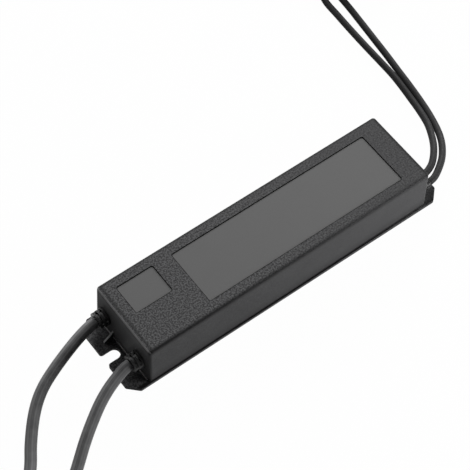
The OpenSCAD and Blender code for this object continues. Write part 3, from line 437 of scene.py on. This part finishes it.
def make_lead(name, route, pair, base, entry, nodes):
    """A lead along its route and into its coil, with a bare end."""
    path = lead_path(route, pair, base, entry)
    jacket, bare = cut_path(path, BARE_END)
    piece = tube(name, jacket, pair["d"])
    inside = bare[0] - (bare[0] - jacket[-2]).normalized() * STRAND_OVERLAP
    end = strands(name + "_bare_end", [inside] + bare, pair["wire_d"])
    dress(piece, "lead_jacket", *nodes)
    dress(end, "zinc_steel")


tie_hv = make_tie("tie_hv", HV, "hv_coil_tie")
tie_supply = make_tie("tie_supply", SUPPLY, "supply_coil_tie")
make_lead("lead_hv_left", HV_LEFT_ROUTE, HV, coil_height(HV), -75, ["hv_lead_left", "hv_coil_upper"])
make_lead("lead_hv_right", HV_RIGHT_ROUTE, HV, 0, -85, ["hv_lead_right", "hv_coil_lower"])
make_lead("lead_supply_rear", SUPPLY_REAR_ROUTE, SUPPLY, coil_height(SUPPLY), 140,
          ["supply_lead_rear", "supply_coil_upper"])
make_lead("lead_supply_front", SUPPLY_FRONT_ROUTE, SUPPLY, 0, 175,
          ["supply_lead_front", "supply_coil_lower"])


# Materials
class Surface:
    """A Principled material and the nodes that give it grain, unevenness and wear."""

    def __init__(self, name, color, rough, specular=0.5, metal=0.0):
        self.material = bpy.data.materials.new(name)
        self.material.use_nodes = True
        self.tree = self.material.node_tree
        self.shader = self.tree.nodes["Principled BSDF"]
        self.color = color
        self.rough = rough
        self.shader.inputs["Base Color"].default_value = (*color, 1)
        self.shader.inputs["Roughness"].default_value = rough
        self.shader.inputs["Specular IOR Level"].default_value = specular
        self.shader.inputs["Metallic"].default_value = metal
        self.coordinates = self.node("ShaderNodeTexCoord").outputs["Object"]
        self.bump = None

    def node(self, kind, **settings):
        made = self.tree.nodes.new(kind)
        for key, value in settings.items():
            setattr(made, key, value)
        return made

    def link(self, output, socket):
        self.tree.links.new(output, socket)

    def noise(self, size, detail=2.0, roughness=0.5):
        """Noise from 0 to 1 whose blotches are about so many millimetres across."""
        made = self.node("ShaderNodeTexNoise")
        made.inputs["Scale"].default_value = 1 / (size * MM)
        made.inputs["Detail"].default_value = detail
        made.inputs["Roughness"].default_value = roughness
        self.link(self.coordinates, made.inputs["Vector"])
        return made.outputs["Fac"]

    def cells(self, size):
        """Distance to the middle of the nearest cell, with cells about so many millimetres across."""
        made = self.node("ShaderNodeTexVoronoi")
        made.inputs["Scale"].default_value = 1 / (size * MM)
        self.link(self.coordinates, made.inputs["Vector"])
        return made.outputs["Distance"]

    def ranged(self, value, low, high, out_low=0.0, out_high=1.0):
        """Goes from out_low to out_high while the value goes from low to high."""
        made = self.node("ShaderNodeMapRange")
        made.inputs["From Min"].default_value = low
        made.inputs["From Max"].default_value = high
        made.inputs["To Min"].default_value = out_low
        made.inputs["To Max"].default_value = out_high
        self.link(value, made.inputs["Value"])
        return made.outputs["Result"]

    def ramp(self, place, start, stop, out_start=0.0, out_stop=1.0):
        """Goes from out_start to out_stop between two places in millimetres."""
        return self.ranged(place, start * MM, stop * MM, out_start, out_stop)

    def combine(self, operation, a, b):
        made = self.node("ShaderNodeMath", operation=operation)
        for socket, value in zip(made.inputs, (a, b)):
            if isinstance(value, (int, float)):
                socket.default_value = value
            else:
                self.link(value, socket)
        return made.outputs["Value"]

    def product(self, a, b):
        return self.combine("MULTIPLY", a, b)

    def total(self, a, b):
        return self.combine("ADD", a, b)

    def lesser(self, a, b):
        return self.combine("MINIMUM", a, b)

    def greater(self, a, b):
        return self.combine("MAXIMUM", a, b)

    def absolute(self, value):
        return self.combine("ABSOLUTE", value, 0)

    def band(self, place, rise, fall, share=1.0):
        """The share between two ramps, each given by two places in millimetres, and 0 outside them."""
        return self.lesser(self.ramp(place, *rise, 0, share), self.ramp(place, *fall, share, 0))

    def split(self, vector):
        parts = self.node("ShaderNodeSeparateXYZ")
        self.link(vector, parts.inputs["Vector"])
        return parts.outputs

    def facing(self):
        """The three parts of the direction that the surface faces."""
        return self.split(self.node("ShaderNodeNewGeometry").outputs["Normal"])

    def tint(self, share, other):
        """Blends the base colour towards another one by a share from 0 to 1."""
        mix = self.node("ShaderNodeMix", data_type="RGBA")
        self.link(share, mix.inputs["Factor"])
        base = self.shader.inputs["Base Color"]
        if base.is_linked:
            self.link(base.links[0].from_socket, mix.inputs["A"])
        else:
            mix.inputs["A"].default_value = base.default_value
        mix.inputs["B"].default_value = (*other, 1)
        self.link(mix.outputs["Result"], base)

    def shade(self, value, amount):
        """Lightens and darkens the base colour by a share as the value goes from 0.3 to 0.7."""
        darker = [c * (1 - amount) for c in self.color]
        lighter = [c * (1 + amount) for c in self.color]
        mix = self.node("ShaderNodeMix", data_type="RGBA")
        self.link(self.ranged(value, 0.3, 0.7), mix.inputs["Factor"])
        mix.inputs["A"].default_value = (*darker, 1)
        mix.inputs["B"].default_value = (*lighter, 1)
        self.link(mix.outputs["Result"], self.shader.inputs["Base Color"])

    def roughen(self, value, amount):
        """Makes the surface rougher and smoother by the amount as the value goes from 0.3 to 0.7."""
        self.link(
            self.ranged(value, 0.3, 0.7, self.rough - amount, self.rough + amount),
            self.shader.inputs["Roughness"])

    def relief(self, height, depth):
        """Adds relief so many millimetres deep."""
        made = self.node("ShaderNodeBump")
        made.inputs["Distance"].default_value = depth * MM
        made.inputs["Strength"].default_value = 1.0
        self.link(height, made.inputs["Height"])
        if self.bump is not None:
            self.link(self.bump, made.inputs["Normal"])
        self.bump = made.outputs["Normal"]
        self.link(self.bump, self.shader.inputs["Normal"])


# The case, in millimetres: half its length and half its width at the top face, and its height
TOP_X = 81.5
TOP_Y = 21.0
TOP_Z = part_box("case")[1].z / MM

# Greys of the case: its own, the painted shade, and the lighter greys of painted highlights
CASE_BLACK = (0.067, 0.067, 0.0685)
PAINTED_SHADE_BLACK = tuple(c * 0.16 for c in CASE_BLACK)
END_HIGHLIGHT_GREY = (0.115, 0.115, 0.116)
RIM_HIGHLIGHT_GREY = (0.12, 0.12, 0.121)
CREST_HIGHLIGHT_GREY = (0.3, 0.3, 0.302)
GUSSET_HIGHLIGHT_GREY = (0.6, 0.6, 0.6)
LEDGE_HIGHLIGHT_GREY = (0.5, 0.5, 0.5)


def painted_shade_top_edges(made, place):
    """Painted shade on the rounding round the top face, which has little grain there; in front the painted
    shade is less towards +X.
    """
    high = made.ramp(place["Z"], TOP_Z - 3.2, TOP_Z - 0.2)
    front = made.product(
        made.product(high, made.ramp(place["Y"], -TOP_Y + 2.2, -TOP_Y + 0.4)),
        made.ramp(place["X"], -80, 80, 1.0, 0.45))
    rear_and_far = made.greater(
        made.ramp(place["Y"], TOP_Y - 1.6, TOP_Y - 0.6, 0, 0.85),
        made.ramp(place["X"], TOP_X - 2.1, TOP_X - 0.9, 0, 0.85))
    near = made.band(place["X"], (-TOP_X + 2.9, -TOP_X + 2.0), (-TOP_X + 1.5, -TOP_X + 1.1), 0.65)
    made.tint(front, PAINTED_SHADE_BLACK)
    made.tint(made.product(high, rear_and_far), PAINTED_SHADE_BLACK)
    made.tint(made.product(high, near), PAINTED_SHADE_BLACK)


def painted_shade_foot_line(made, place):
    """Painted shade: a dark line along the foot of the long sides, 1 mm higher at the +X end, and a painted
    highlight on the rim below.
    """
    side = made.ramp(made.absolute(place["Y"]), TOP_Y - 0.7, TOP_Y - 0.2)
    level = made.combine("SUBTRACT", place["Z"], made.ramp(place["X"], 0, 80, 0, 1 * MM))
    above = made.total(made.ramp(level, 2.4, 3.4, 0.6, 0), made.ramp(level, 2.4, 8.5, 0.4, 0))
    foot = made.lesser(made.ramp(level, 1.2, 1.7, 0.3, 1.0), above)
    rim = made.product(made.ramp(level, 0.9, 1.3, 1, 0), made.ramp(place["X"], -30, 60, 1, 0))
    made.tint(made.product(side, foot), PAINTED_SHADE_BLACK)
    made.tint(made.product(side, rim), RIM_HIGHLIGHT_GREY)


def painted_shade_far_end(made, place, up):
    """Painted shade: the tab at the +X end is darker, and the top face a little towards it."""
    tab = made.product(
        made.ramp(place["X"], TOP_X + 0.1, TOP_X + 1.1),
        made.ramp(place["Z"], 3, 10, 0.3, 0.85))
    made.tint(tab, PAINTED_SHADE_BLACK)
    made.tint(made.product(up, made.ramp(place["X"], -30, 80, 0, 0.22)), PAINTED_SHADE_BLACK)


def painted_light_near_end(made, place):
    """The end wall with the thick leads has a painted highlight along its top and painted shade below."""
    end = made.ramp(place["X"], -TOP_X + 0.2, -TOP_X - 0.1)
    upper = made.ramp(place["Z"], TOP_Z - 6.5, TOP_Z - 1)
    deep = made.lesser(made.ramp(place["Z"], 21, 11, 0, 0.6), made.ramp(place["Z"], 2.7, 3.1, 0, 0.6))
    made.tint(made.product(end, upper), END_HIGHLIGHT_GREY)
    made.tint(made.product(end, deep), PAINTED_SHADE_BLACK)


def painted_crest_highlights(made, place):
    """Painted highlights on crests that face the -X end, strongest on the gussets and the foot's ledge."""
    faces = made.facing()
    crest_highlight = made.lesser(made.ranged(faces["X"], -0.25, -0.45), made.ranged(faces["Z"], 0.25, 0.45))
    ledge = made.product(
        made.band(place["X"], (-TOP_X - 0.3, -TOP_X - 0.5), (-TOP_X - 1.2, -TOP_X - 1.4)),
        made.band(place["Z"], (2.3, 2.5), (2.8, 3.0)))
    made.tint(crest_highlight, CREST_HIGHLIGHT_GREY)
    made.tint(made.product(crest_highlight, made.ramp(place["Z"], 7.5, 8.5, 1, 0)), GUSSET_HIGHLIGHT_GREY)
    made.tint(ledge, LEDGE_HIGHLIGHT_GREY)


def painted_shade_label_recesses(made, place):
    """Painted shade in the recesses round the films."""
    sunk = made.band(place["Z"], (TOP_Z - 1.8, TOP_Z - 1.6), (TOP_Z - 0.12, TOP_Z - 0.02))
    inside = made.lesser(
        made.ramp(made.absolute(place["Y"]), TOP_Y - 2.2, TOP_Y - 2.0, 1, 0),
        made.ramp(made.absolute(place["X"]), TOP_X - 3.5, TOP_X - 3.3, 1, 0))
    made.tint(made.product(sunk, inside), PAINTED_SHADE_BLACK)


def grained_plastic(name):
    """Black moulding: a sparked grain where it faces up, and only a faint one on the drawn walls."""
    made = Surface(name, CASE_BLACK, 0.62, 0.05)
    up = made.ranged(made.facing()["Z"], 0.75, 0.95)
    place = made.split(made.coordinates)
    grain = made.noise(0.8, detail=1.5, roughness=0.55)
    depth = made.product(made.ranged(up, 0, 1, 0.25, 2.2), made.ramp(place["X"], -30, 50, 1.0, 0.45))
    spread = made.product(made.combine("SUBTRACT", grain, 0.5), depth)
    made.shade(made.total(spread, 0.5), 0.48)
    # Painted shade and painted highlights on the case, placed by its own coordinates and facing
    painted_shade_top_edges(made, place)
    painted_shade_foot_line(made, place)
    painted_shade_far_end(made, place, up)
    painted_light_near_end(made, place)
    painted_crest_highlights(made, place)
    painted_shade_label_recesses(made, place)
    made.roughen(made.noise(9), 0.04)
    made.relief(made.product(grain, made.product(depth, 0.45)), 0.12)
    return made.material


def satin_plastic(name, color, specular, rough):
    made = Surface(name, color, rough, specular)
    made.shade(made.noise(6), 0.08)
    made.roughen(made.noise(2.5), 0.05)
    made.relief(made.noise(0.4), 0.008)
    return made.material


def label_film(name, color):
    made = Surface(name, color, 0.65, 0.07)
    made.shade(made.noise(0.5), 0.03)
    made.roughen(made.noise(14), 0.03)
    made.relief(made.noise(3), 0.004)
    return made.material


def jacket(name, color, thin_color):
    """Extruded jackets. The thin supply leads, which are all at the +X end, are darker."""
    made = Surface(name, color, 0.55, 0.07)
    # Lengthwise streaks at the same places round every lead: partly jacket texture, partly painted sheen
    # bands
    streaks_and_sheen = made.node("ShaderNodeTexNoise")
    streaks_and_sheen.inputs["Scale"].default_value = 2.6
    streaks_and_sheen.inputs["Detail"].default_value = 1.0
    around = made.node("ShaderNodeAttribute", attribute_name="around")
    made.link(around.outputs["Vector"], streaks_and_sheen.inputs["Vector"])
    uneven = made.total(made.noise(5), made.product(streaks_and_sheen.outputs["Fac"], 3.0))
    made.shade(made.product(uneven, 0.25), 0.5)
    made.tint(made.ramp(made.split(made.coordinates)["X"], 0, 50), thin_color)
    made.roughen(made.noise(1.6), 0.06)
    made.relief(made.noise(0.9), 0.012)
    return made.material


def plated_metal(name, color, rough):
    made = Surface(name, color, rough, metal=1.0)
    made.shade(made.noise(1.2, detail=3.0), 0.07)
    made.roughen(made.noise(0.5), 0.08)
    made.relief(made.noise(0.3), 0.004)
    return made.material


def wound_wire(name, color, pitch):
    """Enamelled wire: fine rounded turns side by side."""
    made = Surface(name, color, 0.3)
    made.shade(made.noise(1), 0.12)
    wave = made.node("ShaderNodeTexWave", wave_type="BANDS", bands_direction="X", wave_profile="SIN")
    wave.inputs["Scale"].default_value = 0.314 / (pitch * MM)
    wave.inputs["Distortion"].default_value = 0.4
    made.link(made.coordinates, wave.inputs["Vector"])
    made.relief(wave.outputs["Fac"], pitch * 0.3)
    return made.material


def board_lacquer(name, color):
    """Green lacquer over a weave that shows faintly."""
    made = Surface(name, color, 0.3)
    weave = made.node("ShaderNodeTexWave", wave_type="BANDS", bands_direction="DIAGONAL")
    weave.inputs["Scale"].default_value = 300
    made.link(made.coordinates, weave.inputs["Vector"])
    made.shade(weave.outputs["Fac"], 0.08)
    made.relief(made.noise(0.8), 0.01)
    return made.material


def poured_resin(name, color):
    """Resin that levelled by itself: glossy, with slow waves, faint dust and a few tiny pits."""
    made = Surface(name, color, 0.22, 0.45)
    made.shade(made.noise(11, detail=3.0), 0.25)
    made.roughen(made.noise(7, detail=3.0), 0.08)
    made.relief(made.noise(16), 0.12)
    pits = made.ranged(made.cells(7.5), 0.0, 0.07)
    made.relief(pits, 0.15)
    return made.material


def clear_glass(name):
    made = Surface(name, (0.9, 0.94, 0.94), 0.03)
    made.shader.inputs["Transmission Weight"].default_value = 1.0
    made.shader.inputs["IOR"].default_value = 1.5
    made.relief(made.noise(3, detail=1.0), 0.003)
    return made.material


# Satin plastics: colour, specular level and roughness
SATIN = {
    "relief_plastic": ((0.014, 0.014, 0.0145), 0.17, 0.3),
    "tie_nylon": ((0.02, 0.02, 0.02), 0.4, 0.35),
    "ferrite": ((0.045, 0.045, 0.05), 0.4, 0.6),
    "ring_green": ((0.05, 0.17, 0.07), 0.5, 0.35),
    "bobbin_plastic": ((0.62, 0.57, 0.44), 0.4, 0.45),
    "disc_blue": ((0.02, 0.1, 0.4), 0.5, 0.25),
    "film_red": ((0.42, 0.02, 0.02), 0.5, 0.3),
    "film_yellow": ((0.62, 0.42, 0.03), 0.5, 0.3),
    "resistor_tan": ((0.5, 0.36, 0.2), 0.4, 0.4),
    "black_epoxy": ((0.022, 0.022, 0.024), 0.4, 0.5),
    "sleeve_dark_blue": ((0.012, 0.03, 0.09), 0.5, 0.25),
    "terminal_plastic": ((0.02, 0.12, 0.24), 0.4, 0.4),
}

# Metals: colour and roughness
METALS = {
    "zinc_steel": ((0.58, 0.58, 0.6), 0.35),
    "brass": ((0.72, 0.5, 0.2), 0.32),
    "nickel": ((0.64, 0.61, 0.56), 0.22),
    "aluminium": ((0.7, 0.7, 0.72), 0.4),
}

materials = {
    "case_plastic": grained_plastic("case_plastic"),
    "label_film": label_film("label_film", (0.118, 0.118, 0.118)),
    "resin": poured_resin("resin", (0.018, 0.018, 0.019)),
    "lead_jacket": jacket("lead_jacket", (0.147, 0.147, 0.149), (0.021, 0.021, 0.0215)),
    "board_laminate": board_lacquer("board_laminate", (0.02, 0.1, 0.035)),
    "enamelled_wire": wound_wire("enamelled_wire", (0.42, 0.13, 0.045), 0.6),
    "fine_wire": wound_wire("fine_wire", (0.3, 0.09, 0.035), 0.25),
    "fuse_glass": clear_glass("fuse_glass"),
}
for name, look in SATIN.items():
    materials[name] = satin_plastic(name, *look)
for name, look in METALS.items():
    materials[name] = plated_metal(name, *look)

# Easing of moulded edges: edges sharper than this, and faces flatter than this as one face
EASE_FROM = math.radians(32)
FLAT_WITHIN = math.radians(0.2)
SAME_PLACE = 1e-6

node_slots = {part["node"]: part["material_slot"] for part in frame["record"]["subparts"]}


def eased(name, node, width):
    """The node's own shape with its sharp edges eased by so many millimetres, as moulded edges are."""
    bm = bmesh.new()
    bm.from_mesh(frame["nodes"][node].data)
    bmesh.ops.remove_doubles(bm, verts=bm.verts, dist=SAME_PLACE)
    bmesh.ops.dissolve_limit(
        bm, angle_limit=FLAT_WITHIN, verts=bm.verts, edges=bm.edges, delimit={"NORMAL"})
    piece = smooth_object(name, bm)
    bevel = piece.modifiers.new("ease", "BEVEL")
    bevel.width = width * MM
    bevel.segments = 2
    bevel.limit_method = "ANGLE"
    bevel.angle_limit = EASE_FROM
    bevel.use_clamp_overlap = True
    weighted = piece.modifiers.new("weigh", "WEIGHTED_NORMAL")
    weighted.keep_sharp = True
    dress(piece, node_slots[node], node)


eased("case_moulding", "case", 0.25)
eased("relief_moulding_left", "strain_relief_left", 0.1)
eased("relief_moulding_right", "strain_relief_right", 0.1)
eased("label_sheet_large", "label_large", 0.06)
eased("label_sheet_small", "label_small", 0.06)


def paint(obj, slot):
    obj.data.materials.clear()
    obj.data.materials.append(materials[slot])


for node, obj in frame["nodes"].items():
    paint(obj, node_slots[node])
for piece, slot in dressed:
    paint(piece, slot)

# Studio
FLOOR_SIZE = 4
FLOOR_DROP = 0.04 * MM
FLOOR_GREY = 0.6
WHITE_SHARE = 0.985
WHITE_RAYS = ("Is Camera Ray", "Is Glossy Ray", "Is Transmission Ray")

# Square lamps that all point at the middle of the base: place and side in metres, and power in watts
LAMPS = {
    "back_light": ((1.54, 1.54, 1.02), 1, 66),
    "rear_light": ((0, 1.09, 0.51), 0.5, 4),
    "near_light": ((0.32, -0.3, 0.12), 0.2, 2),
    "end_light": ((1.02, -0.37, 0.19), 0.35, 1.1),
    "top_light": ((0, 0.23, 0.39), 0.2, 0.5),
}


def sees_white(tree):
    """1 for the rays that see the surroundings as white, and 0 for all others."""
    light_path = tree.nodes.new("ShaderNodeLightPath")
    found = light_path.outputs[WHITE_RAYS[0]]
    for kind in WHITE_RAYS[1:]:
        either = tree.nodes.new("ShaderNodeMath")
        either.operation = "MAXIMUM"
        tree.links.new(found, either.inputs[0])
        tree.links.new(light_path.outputs[kind], either.inputs[1])
        found = either.outputs["Value"]
    return found


def make_floor():
    """A floor that the camera sees as white but for the object's faint shadow."""
    bm = bmesh.new()
    bmesh.ops.create_grid(bm, x_segments=1, y_segments=1, size=FLOOR_SIZE / 2)
    data = bpy.data.meshes.new("floor")
    bm.to_mesh(data)
    bm.free()
    floor = new_object("floor", data)
    floor.location.z = -FLOOR_DROP
    mat = bpy.data.materials.new("floor")
    mat.use_nodes = True
    tree = mat.node_tree
    tree.nodes.clear()
    diffuse = tree.nodes.new("ShaderNodeBsdfDiffuse")
    diffuse.inputs["Color"].default_value = (FLOOR_GREY, FLOOR_GREY, FLOOR_GREY, 1)
    glow = tree.nodes.new("ShaderNodeEmission")
    glow.inputs["Color"].default_value = (1, 1, 1, 1)
    glow.inputs["Strength"].default_value = 1.0
    share = tree.nodes.new("ShaderNodeMath")
    share.operation = "MULTIPLY"
    share.inputs[1].default_value = WHITE_SHARE
    mix = tree.nodes.new("ShaderNodeMixShader")
    out = tree.nodes.new("ShaderNodeOutputMaterial")
    tree.links.new(sees_white(tree), share.inputs[0])
    tree.links.new(share.outputs["Value"], mix.inputs["Fac"])
    tree.links.new(diffuse.outputs["BSDF"], mix.inputs[1])
    tree.links.new(glow.outputs["Emission"], mix.inputs[2])
    tree.links.new(mix.outputs["Shader"], out.inputs["Surface"])
    data.materials.append(mat)


def make_world():
    """A world that is white to the camera and in reflections, and gives no other light."""
    world = bpy.data.worlds.new("world")
    world.use_nodes = True
    scene.world = world
    background = world.node_tree.nodes["Background"]
    background.inputs["Color"].default_value = (1, 1, 1, 1)
    world.node_tree.links.new(sees_white(world.node_tree), background.inputs["Strength"])


def make_lamp(name, place, side, power):
    data = bpy.data.lights.new(name, "AREA")
    data.shape = "SQUARE"
    data.size = side
    data.energy = power
    lamp = bpy.data.objects.new(name, data)
    lamp.location = place
    lamp.rotation_euler = Vector(place).to_track_quat("Z", "Y").to_euler()
    scene.collection.objects.link(lamp)


make_floor()
make_world()
for name, lamp in LAMPS.items():
    make_lamp(name, *lamp)

scene.view_settings.view_transform = "Standard"
